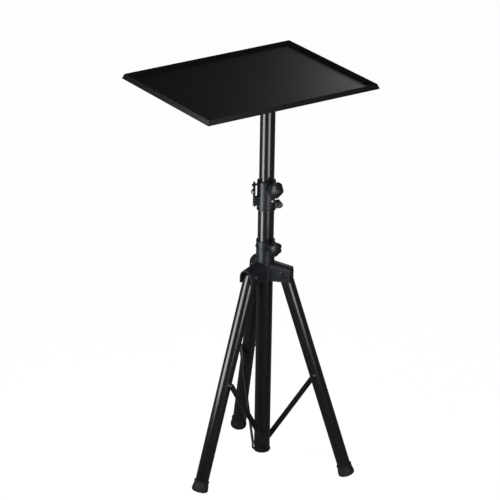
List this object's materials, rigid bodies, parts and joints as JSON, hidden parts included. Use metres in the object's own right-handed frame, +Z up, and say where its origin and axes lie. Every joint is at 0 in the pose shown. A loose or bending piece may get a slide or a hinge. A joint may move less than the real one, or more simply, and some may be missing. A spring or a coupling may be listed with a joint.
{
  "type": "laptop presentation stand",
  "caption": "Folding tripod stand with a telescoping mast, locking collars and a rectangular rimmed tray that turns on top.",
  "frame": {"origin": "on the floor, under the middle of the stand's outline", "axes": "+Z up the pole, X along the tray's long side, -Y towards the tray's front edge and the knobs"},
  "size_m": [0.368, 0.3102, 0.7798],
  "materials": {
    "tube_paint": "gloss black powder paint",
    "tray_paint": "satin black powder paint",
    "clamp_plastic": "satin black moulded plastic",
    "plug_plastic": "matt black moulded plastic",
    "foot_rubber": "matt black rubber",
    "black_fasteners": "black oxide",
    "spring_steel": "blackened spring steel",
    "bright_steel": "zinc plated"
  },
  "bodies": {
    "column": {"main_tube": "tube_paint", "tube_plug": "plug_plastic", "brace_rivets": "black_fasteners", "mast_clamp": "clamp_plastic", "clamp_bolt": "black_fasteners", "lock_spring": "spring_steel", "lock_pin": "spring_steel", "pull_ring": "spring_steel", "collar_screw": "bright_steel"},
    "hub": {"leg_hub": "clamp_plastic", "leg_bolts": "black_fasteners"},
    "leg_1": {"leg_tube_1": "tube_paint", "foot_cap_1": "foot_rubber", "leg_rivet_1": "black_fasteners"},
    "leg_2": {"leg_tube_2": "tube_paint", "foot_cap_2": "foot_rubber", "leg_rivet_2": "black_fasteners"},
    "leg_3": {"leg_tube_3": "tube_paint", "foot_cap_3": "foot_rubber", "leg_rivet_3": "black_fasteners"},
    "brace_1": {"brace_1": "tube_paint"},
    "brace_2": {"brace_2": "tube_paint"},
    "brace_3": {"brace_3": "tube_paint"},
    "mast": {"mast_tube": "tube_paint", "mast_cap": "plug_plastic", "mast_sleeve": "plug_plastic"},
    "tray": {"tray_pan": "tray_paint", "tray_flange": "tray_paint", "tray_socket": "tray_paint", "tray_screws": "black_fasteners"},
    "mast_knob": {"mast_knob": "clamp_plastic", "mast_knob_screw": "bright_steel"},
    "hub_knob": {"hub_knob": "clamp_plastic", "hub_knob_screw": "bright_steel"}
  },
  "joints": [
    {"name": "hub_slide", "type": "slide", "parent": "column", "child": "hub", "axis": [0, 0, 1], "range_m": [0, 0.0353]},
    {"name": "leg_1_fold", "type": "hinge", "parent": "hub", "child": "leg_1", "pos_m": [0.03874, 0.01905, 0.404], "axis": [-0.9511, 0.309, 0], "range_deg": [0, 17.9]},
    {"name": "leg_2_fold", "type": "hinge", "parent": "hub", "child": "leg_2", "pos_m": [-0.01017, -0.02499, 0.404], "axis": [0.2079, -0.9781, 0], "range_deg": [0, 17.9]},
    {"name": "leg_3_fold", "type": "hinge", "parent": "hub", "child": "leg_3", "pos_m": [0.05243, -0.04532, 0.404], "axis": [0.7431, 0.6691, 0], "range_deg": [0, 17.9]},
    {"name": "brace_1_fold", "type": "hinge", "parent": "column", "child": "brace_1", "pos_m": [0.01226, -0.0123, 0.041], "axis": [-0.9511, 0.309, 0], "range_deg": [-20.6, 0]},
    {"name": "brace_2_fold", "type": "hinge", "parent": "column", "child": "brace_2", "pos_m": [0.03022, -0.03225, 0.041], "axis": [0.2079, -0.9781, 0], "range_deg": [-20.6, 0]},
    {"name": "brace_3_fold", "type": "hinge", "parent": "column", "child": "brace_3", "pos_m": [0.03852, -0.00671, 0.041], "axis": [0.7431, 0.6691, 0], "range_deg": [-20.6, 0]},
    {"name": "mast_slide", "type": "slide", "parent": "column", "child": "mast", "axis": [0, 0, 1], "range_m": [-0.14, 0.11]},
    {"name": "tray_swivel", "type": "hinge", "parent": "mast", "child": "tray", "pos_m": [0.027, -0.01709, 0.7533], "axis": [0, 0, 1], "continuous": true},
    {"name": "mast_knob_turn", "type": "hinge", "parent": "column", "child": "mast_knob", "pos_m": [0.027, -0.04709, 0.574], "axis": [0, -1, 0], "continuous": true},
    {"name": "hub_knob_turn", "type": "hinge", "parent": "hub", "child": "hub_knob", "pos_m": [0.027, -0.04709, 0.4575], "axis": [0, -1, 0], "continuous": true}
  ],
  "couplings": [
    {"joint": "leg_1_fold", "follows": "hub_slide", "rad_per_m": 8.8003},
    {"joint": "brace_1_fold", "follows": "hub_slide", "rad_per_m": -10.135},
    {"joint": "leg_2_fold", "follows": "hub_slide", "rad_per_m": 8.8003},
    {"joint": "brace_2_fold", "follows": "hub_slide", "rad_per_m": -10.135},
    {"joint": "leg_3_fold", "follows": "hub_slide", "rad_per_m": 8.8003},
    {"joint": "brace_3_fold", "follows": "hub_slide", "rad_per_m": -10.135}
  ]
}
